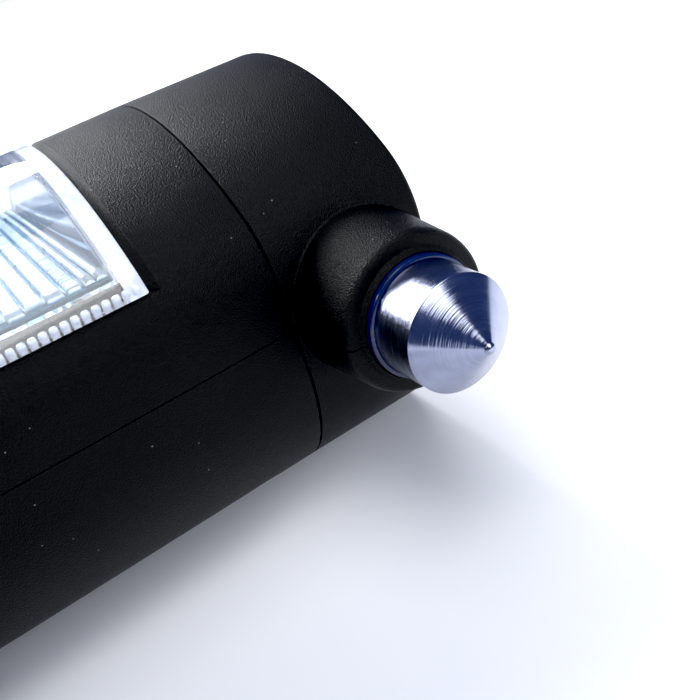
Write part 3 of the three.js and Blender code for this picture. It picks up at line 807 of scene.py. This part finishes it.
def keep_half(piece, upward):
    """Cuts a piece at the line between the shells and closes the cut."""
    side = 1 if upward else -1
    mesh = bmesh.new()
    mesh.from_mesh(piece.data)
    bmesh.ops.bisect_plane(mesh, geom=mesh.verts[:] + mesh.edges[:] + mesh.faces[:], dist=1e-5,
                           plane_co=(0, 0, side * SPLIT), plane_no=(0, 0, -side), clear_outer=True)
    rim = [e for e in mesh.edges if e.is_boundary]
    bmesh.ops.contextual_create(mesh, geom=rim)
    mesh.to_mesh(piece.data)
    mesh.free()
    return piece


def join(first, second):
    """Puts the mesh of the second piece into the first."""
    mesh = bmesh.new()
    mesh.from_mesh(first.data)
    mesh.from_mesh(second.data)
    mesh.to_mesh(first.data)
    mesh.free()
    bpy.data.objects.remove(second)
    return first


print("boss stands", BOSS_END - HALF_WIDTH, "mm out of the side")

# %% [markdown]
# The head is two rounded runs with the same thin line between them as the
# handle's shells. Each takes its half of the boss.

# %% Head shells
gauge_exit = ((-1, GAUGE_Y - CHANNEL_Y, GAUGE_Z - CHANNEL_Z),
              (HEAD_LENGTH + 1, GAUGE_Y + CHANNEL_Y, GAUGE_Z + CHANNEL_Z))
head_upper = upper_run("head_upper", SEAM, HEAD_LENGTH, 0, SPLIT, 0.07, HEAD_EDGE)
cut(head_upper, box("gauge_exit", *gauge_exit))
join(head_upper, keep_half(boss("boss_upper"), True))
finish(head_upper, "tool", "black_shell", ["head_shell_upper"], black_shell)

head_lower = lower_run("head_lower", SEAM, HEAD_LENGTH, 0, -SPLIT, 0.07, HEAD_EDGE)
cut(head_lower, *screw_pockets([(POINT_X, y) for y in HEAD_SCREWS], HEAD_SCREW_SEAT))
join(head_lower, keep_half(boss("boss_lower"), False))
finish(head_lower, "tool", "black_shell", ["head_shell_lower"], black_shell)

# %% [markdown]
# ## Steel point and its collar
# Both are turned, so each is one profile and a Screw modifier. They are made
# upright at the origin, applied, and then laid into the side of the head.

# %% Steel point and its collar
POINT_R, POINT_FOOT, POINT_BASE, POINT_CONE = 4.45, 25.0, 32.0, 3.5


def turned(name, profile, sides):
    """Spins (radius, height) pairs, listed from top to bottom, and applies the stack."""
    outline = bmesh.new()
    chain = [outline.verts.new((r, 0, z)) for r, z in profile]
    for a, b in zip(chain, chain[1:]):
        outline.edges.new((a, b))
    piece = mesh_object(name, outline)
    spin = piece.modifiers.new("spin", "SCREW")
    spin.steps = spin.render_steps = sides
    spin.use_merge_vertices = True
    spin.merge_threshold = 0.001
    bpy.context.view_layer.objects.active = piece
    bpy.ops.object.modifier_apply(modifier=spin.name)
    return piece


LAY_OUT = Matrix.Translation((POINT_X, 0, 0)) @ Matrix.Rotation(math.radians(90), 4, "X")

tip = POINT_BASE + POINT_CONE
point = turned("steel_point", [
    (0, tip), (0.16, tip - 0.02), (0.30, tip - 0.09), (0.40, tip - 0.20), (0.44, tip - 0.33),
    (0.42, tip - 0.42), (0.47, tip - 0.46), (2.4, tip - 1.91), (POINT_R - 0.09, POINT_BASE + 0.03),
    (POINT_R, POINT_BASE - 0.07),
    (POINT_R, 30.0), (POINT_R, 28.2), (POINT_R, POINT_FOOT), (0, POINT_FOOT)], 128)
point.data.transform(LAY_OUT)
finish(point, "tool", "turned_steel", ["hammer_point"], turned_steel, 20)

collar = turned("point_collar_ring", [
    (POINT_R + 0.01, COLLAR_END - 0.05), (POINT_R + 0.08, COLLAR_END),
    (COLLAR_R - 0.12, COLLAR_END - 0.02), (COLLAR_R - 0.03, COLLAR_END - 0.1),
    (COLLAR_R, COLLAR_END - 0.25), (COLLAR_R, COLLAR_FOOT), (POINT_R + 0.01, COLLAR_FOOT),
    (POINT_R + 0.01, COLLAR_END - 0.05)], 96)
collar.data.transform(LAY_OUT)
finish(collar, "tool", "navy_collar", ["point_collar"], navy.material, 35)

# %% [markdown]
# ## Lamp lens
# A clear cover that stands a little proud of the shell. It is a run of sections
# hollowed by a smaller run, with a groove over the shell's lip. Its end walls are
# frosted, and a row of flutes along each lower edge, rounded by a live bevel,
# breaks up the light. End walls and flutes have a faint emission, a painted glow
# for the light they catch.

# %% Lamp lens
LENS_PROUD, LENS_WALL = 0.24, 1.5
LENS_FOOT = LEDGE_Z + 0.2
FLUTE_PITCH, FLUTE_SIZE, FLUTE_ROUND = 0.78, (0.62, 0.5, 1.15), 0.2
FLUTE_Y, FLUTE_Z, FLUTE_TILT = 18.73, 8.32, math.radians(-36)


def pillow(mesh, middle, size, turn):
    """Adds a small block, turned about X."""
    block = bmesh.ops.create_cube(mesh, size=1.0)["verts"]
    move = (Matrix.Translation(middle) @ Matrix.Rotation(turn, 4, "X")
            @ Matrix.Diagonal((*size, 1)))
    bmesh.ops.transform(mesh, matrix=move, verts=block)


LENS_LOW, LENS_HIGH = -LENS_END + 0.1, -LENS_START - 0.1
stations = rounded_run(LENS_LOW, LENS_HIGH, 0.35, 0.35)
stations = sorted(stations + [(LENS_LOW + LENS_WALL, 0.0), (LENS_HIGH - LENS_WALL, 0.0)])
lens = loft("lamp_lens", [upper_ring(x, LENS_PROUD - inset, LENS_FOOT) for x, inset in stations])
cut(lens, upper_run("lens_room", LENS_LOW + LENS_WALL, LENS_HIGH - LENS_WALL,
                    LENS_PROUD - LENS_WALL, LENS_FOOT - 1, 0.3, 0.3),
    lens_lip("lens_groove", 0.02))
finish(lens, "tool", "clear_lens", ["side_lens"], clear.material)
# The end walls take the frosted finish with its painted glow.
lens.data.materials.append(frost_with_painted_glow.material)
for face in lens.data.polygons:
    along = face.center.x / MM - SEAM_X
    face.material_index = int(along > LENS_HIGH - LENS_WALL or along < LENS_LOW + LENS_WALL)

flutes = bmesh.new()
count = int((LENS_END - LENS_START - 2) / FLUTE_PITCH)
for i in range(count):
    x = -LENS_START - 0.9 - i * FLUTE_PITCH
    wide, tall = stretch(x)
    for side in (-1, 1):
        pillow(flutes, (x, side * FLUTE_Y * wide, FLUTE_Z * tall), FLUTE_SIZE,
               side * FLUTE_TILT)
flutes = mesh_object("lens_flutes", flutes)
flutes.data.transform(PLACE)
rounding = flutes.modifiers.new("round", "BEVEL")
rounding.width = FLUTE_ROUND * MM
rounding.segments = 2
# The flutes take the frosted finish with its painted glow.
flutes.data.materials.append(frost_with_painted_glow.material)
flutes.data.shade_smooth()
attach(flutes, "tool")
print("flutes:", 2 * count)

# %% [markdown]
# ## Reflector tray
# The tray is a silvered floor with two ridges across each end. Next to the near
# ridges comes one strip of narrow pillows, and then a field of wider ones, laid
# like bricks. One or two pillows are drawn, and two Array modifiers repeat them.

# %% Reflector tray
CELL_X, CELL_Y, CELL_RISE = 1.45, 1.62, 0.3
CELL_GAP, CREST_X, CREST_Y = 0.03, 0.22, 0.2   # from a cell's edge to its foot and crest
TRAY_Y, FIELD_Y = 16.6, 16.4
RIDGE_X, RIDGE_R = 11.15, 0.42
LED_FIRST, LED_PITCH, LED_COUNT, LED_WINDOW_R = 34.0, 10.4, 6, 2.6


def led_windows():
    return [bar("led_window", "Z", LED_WINDOW_R, 0, FAR, (-LED_FIRST - i * LED_PITCH, 0), 32)
            for i in range(LED_COUNT)]


tray = box("tray_floor", (-LENS_END + 1.8, -TRAY_Y, LEDGE_Z + 0.2),
           (-LENS_START - 1.8, TRAY_Y, TRAY_Z))
ridges = [bar("tray_ridge", "Y", RIDGE_R, -FIELD_Y, FIELD_Y, (x, TRAY_Z), 24)
          for x in (-RIDGE_X, -RIDGE_X - 0.9, -LENS_END + 2.4, -LENS_END + 3.3)]
combine(tray, ridges, "UNION")
cut(tray, *led_windows())
finish(tray, "tool", "silvered_reflector", ["reflector_tray"], silver.material)


def brick_field(name, start, size, number):
    """Rows of small pillows in a brick bond. start is the corner nearest the head."""
    pattern = bmesh.new()
    for shift_x, shift_y in ((0, 0), (-size[0], size[1] / 2))[:number[0]]:
        foot, crest = [[(x, y), (size[0] - x, y), (size[0] - x, size[1] - y), (x, size[1] - y)]
                       for x, y in ((CELL_GAP, CELL_GAP), (CREST_X, CREST_Y))]
        levels = [[pattern.verts.new((x + shift_x, y + shift_y, z)) for x, y in outline]
                  for outline, z in ((foot, TRAY_Z - 0.1), (foot, TRAY_Z + 0.03),
                                     (crest, TRAY_Z + CELL_RISE))]
        pattern.faces.new(list(reversed(levels[0])))
        pattern.faces.new(levels[-1])
        for a, b in zip(levels, levels[1:]):
            for i in range(4):
                pattern.faces.new((a[i], a[(i + 1) % 4], b[(i + 1) % 4], b[i]))
    field = mesh_object(name, pattern)
    field.data.transform(Matrix.Translation((start[0] - size[0], start[1], 0)))
    for direction, count, step in (("along", (number[0] + 1) // 2, (-2 * size[0], 0, 0)),
                                   ("across", number[1], (0, size[1], 0))):
        row = field.modifiers.new(direction, "ARRAY")
        row.use_relative_offset = False
        row.use_constant_offset = True
        row.constant_offset_displace = step
        row.count = count
        bpy.context.view_layer.objects.active = field
        bpy.ops.object.modifier_apply(modifier=row.name)
    return field


fringe = brick_field("tray_fringe", (-12.6, -FIELD_Y), (1.2, 0.78), (1, 42))
bricks = brick_field("tray_prisms", (-13.9, -FIELD_Y), (CELL_X, CELL_Y), (52, 20))
cut(bricks, *led_windows())
join(bricks, fringe)
bevel = bricks.modifiers.new("soften", "BEVEL")
bevel.width = 0.05 * MM
bevel.segments = 1
bevel.limit_method = "ANGLE"
finish(bricks, "tool", "silvered_reflector", ["reflector_tray"], silver.material)

# %% [markdown]
# ## Battery door
# The door is the piece of the lower shell that was cut out for the bay, thinned
# from inside. A barrel along its edge turns on the hinge pin.

# %% Battery door
DOOR_LOW, DOOR_HIGH = -BAY_END + 0.25, -BAY_START - 0.25
door = lower_run("battery_door_panel", DOOR_LOW, DOOR_HIGH, 0, 0, 0.2, 0.2)
combine(door, [box("door_part", (DOOR_LOW - 1, -FAR, -FAR), (DOOR_HIGH + 1, FAR, DOOR_Z - 0.25))],
        "INTERSECT")
cut(door, lower_run("door_hollow", DOOR_LOW - 1, DOOR_HIGH + 1, 0.3 - WALL, 1))
root = lower_run("door_root", DOOR_LOW, DOOR_HIGH, -0.5, 0)
combine(root, [box("root_part", (DOOR_LOW - 1, HINGE_Y - 1.6, DOOR_Z - 2.2),
                   (DOOR_HIGH + 1, HINGE_Y, DOOR_Z))], "INTERSECT")
cut(root, lower_run("root_hollow", DOOR_LOW - 1, DOOR_HIGH + 1, 0.3 - WALL, 1))
barrel = bar("door_barrel", "X", BARREL_R, DOOR_LOW, DOOR_HIGH, (HINGE_Y, DOOR_Z), 32)
combine(door, [root, barrel], "UNION")
cut(door, bar("pin_bore", "X", PIN_BORE_R, DOOR_LOW - 1, DOOR_HIGH + 1, (HINGE_Y, DOOR_Z), 24))
finish(door, "door", "black_shell", ["battery_door"], black_shell)

# %% [markdown]
# ## Tail torch
# Bezel, window, reflector and lamp are turned round one axis, which points out of
# the tail. Heights are counted outward from the end face.

# %% Tail torch
BOWL_R, BOWL_BOTTOM, BOWL_DEPTH = 12.6, 17.3, 13.3
LAY_BACK = (Matrix.Translation((-TAIL, 0, TORCH_Z))
            @ Matrix.Rotation(math.radians(-90), 4, "Y"))
bezel = turned("torch_bezel_ring", [
    (12.5, 0.55), (12.75, 0.8), (BEZEL_R - 0.8, 0.8), (BEZEL_R - 0.35, 0.66),
    (BEZEL_R - 0.08, 0.38), (BEZEL_R, 0.05), (BEZEL_R, -1.6), (13.0, -1.6), (12.5, 0.55)], 128)
window = turned("torch_window", [
    (0, -1.8), (10, -1.8), (14.25, -1.8), (14.4, -1.95), (14.4, -3.2), (0, -3.2)], 96)
bowl = [(BOWL_R * math.sqrt((BOWL_BOTTOM - d) / BOWL_DEPTH), -d)
        for d in (4, 5, 6.5, 8, 9.5, 11, 12.5, 14, 15.2, 16.2)]
reflector = turned("torch_bowl", [(13.7, -4), (13.7, -5)]
                   + [(r + 0.7, h - 0.6) for r, h in bowl[1:]]
                   + list(reversed(bowl)) + [(13.7, -4)], 96)
torch_lamp = turned("torch_lamp", [
    (0, -15.5), (0.7, -15.62), (1.3, -15.95), (1.7, -16.45), (1.9, -17.1), (1.9, -21.5),
    (0, -21.5)], 32)
for piece, slot, replaced, material in (
        (bezel, "grey_plastic", "torch_bezel", grey_plastic),
        (window, "clear_lens", "torch_lens", clear.material),
        (reflector, "silvered_reflector", "torch_reflector", bright_bowl),
        (torch_lamp, "led_epoxy", "torch_led", epoxy.material)):
    piece.data.transform(LAY_BACK)
    finish(piece, "tool", slot, [replaced], material)

# %% [markdown]
# ## Thumb pieces
# Two sliding pieces: the lamp switch on top and the gauge on the far side. Each
# is a plate with ribs for the thumb, and a live bevel rounds every edge.

# %% Thumb pieces
SWITCH_TRAVEL = 6.0
THUMB_Y = 20.8


def thumb(name, blocks, body, replaced, radius):
    """Joins blocks into one piece and rounds its edges."""
    first, *others = [box(name, low, high) for low, high in blocks]
    combine(first, others, "UNION")
    rounding = first.modifiers.new("round", "BEVEL")
    rounding.width = radius * MM
    rounding.segments = 3
    rounding.limit_method = "ANGLE"
    return finish(first, body, "grey_plastic", [replaced], grey_plastic)


at = -SWITCH_X - SWITCH_TRAVEL / 2
plate_z = TOP_REAR - 1.3
thumb("switch_thumb_piece", [((at - 4.5, -4.8, plate_z), (at + 4.5, 4.8, TOP_REAR + 0.1)),
                             ((at - 1.6, -1.4, 11.2), (at + 1.6, 1.4, plate_z + 0.2))]
      + [((at + i * 1.7 - 0.4, -4.2, TOP_REAR - 0.2), (at + i * 1.7 + 0.4, 4.2, TOP_REAR + 0.8))
         for i in range(-2, 3)], "switch", "switch_thumb", 0.18)
thumb("gauge_thumb_piece", [((-GAUGE_START - 2, THUMB_Y, GAUGE_Z - 2.6),
                             (-GAUGE_START + 6, THUMB_Y + 1.2, GAUGE_Z + 2.6))]
      + [((-GAUGE_START + 1.5 + i * 2, THUMB_Y + 1, GAUGE_Z - 2),
          (-GAUGE_START + 2.5 + i * 2, THUMB_Y + 1.9, GAUGE_Z + 2)) for i in range(-1, 2)],
      "gauge", "gauge_thumb", 0.22)

# %% [markdown]
# ## Screws and cells
# Eight equal screws with a cross in the head, and three cells with a rounded can
# and a small pole at the end towards the head.

# %% Screws and cells
SCREW_GAP, SCREW_HEAD = 0.3, 1.8
CELL_R, CELL_PITCH, CELL_Z, CELL_START, CELL_LENGTH = 5.25, 10.7, -7.6, 61.5, 44.5


def screw(name, x, y, seat):
    base = seat - SCREW_GAP - SCREW_HEAD
    piece = turned("shown_" + name, [
        (0, base + 17.5), (1.1, base + 16.5), (1.1, base + 1.8), (2.3, base + 1.0),
        (2.28, base + 0.3), (2.05, base + 0.06), (1.7, base), (0, base)], 32)
    cut(piece, box("cross", (-1.3, -0.28, base - 1), (1.3, 0.28, base + 0.8)),
        box("cross", (-0.28, -1.3, base - 1), (0.28, 1.3, base + 0.8)))
    piece.data.transform(Matrix.Translation((x, y, 0)))
    finish(piece, "tool", "plain_steel", [name], plain_steel)


for k, (x, y) in enumerate(SCREW_PLACES):
    screw(f"body_screw_{k + 1}", x, y, SCREW_SEAT)
for k, y in enumerate(HEAD_SCREWS):
    screw(f"head_screw_{k + 1}", POINT_X, y, HEAD_SCREW_SEAT)

for i in range(3):
    cell = turned(f"shown_cell_{i + 1}", [
        (0, 0), (1.7, 0), (1.9, -0.15), (1.9, -0.9), (CELL_R - 0.5, -0.9), (CELL_R - 0.15, -1.05),
        (CELL_R, -1.4), (CELL_R, 0.5 - CELL_LENGTH), (CELL_R - 0.15, 0.15 - CELL_LENGTH),
        (CELL_R - 0.5, -CELL_LENGTH), (0, -CELL_LENGTH)], 48)
    cell.data.transform(Matrix.Translation((-CELL_START, (i - 1) * CELL_PITCH, CELL_Z))
                        @ Matrix.Rotation(math.radians(90), 4, "Y"))
    finish(cell, "tool", "cell_wrap", [f"battery_cell_{i + 1}"], sleeve.material)

# %% [markdown]
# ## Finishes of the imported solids
# Boards, pins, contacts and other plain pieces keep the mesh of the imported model.
# Every solid gets its finish here, also where a shaped piece now stands for it.

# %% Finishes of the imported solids
SOLIDS = {
    plain_steel: ["point_cross_pin", "door_hinge_pin", "belt_blade", "gauge_probe",
                  "head_screw_1", "head_screw_2"] + [f"body_screw_{i}" for i in range(1, 7)],
    grey_plastic: ["torch_bezel", "switch_unit", "battery_cradle", "switch_thumb", "gauge_thumb"],
    black_shell: ["battery_door", "body_shell_upper", "body_shell_lower", "head_shell_upper",
                  "head_shell_lower"],
    turned_steel: ["hammer_point"],
    navy.material: ["point_collar"],
    clear.material: ["torch_lens", "side_lens"],
    silver.material: ["torch_reflector", "reflector_tray"],
    board.material: ["lamp_board", "control_board", "torch_board"],
    epoxy.material: ["torch_led"] + [f"lamp_led_{i}" for i in range(1, 7)],
    sleeve.material: [f"battery_cell_{i}" for i in range(1, 4)],
    contact_metal: [f"contact_{kind}_{i}" for kind in ("spring", "plate") for i in range(1, 4)],
    scale_strip.material: ["gauge_scale"],
}
for material, names in SOLIDS.items():
    for name in names:
        mesh = nodes[name].data
        mesh.materials.clear()
        mesh.materials.append(material)
print("finished solids:", sum(len(names) for names in SOLIDS.values()))
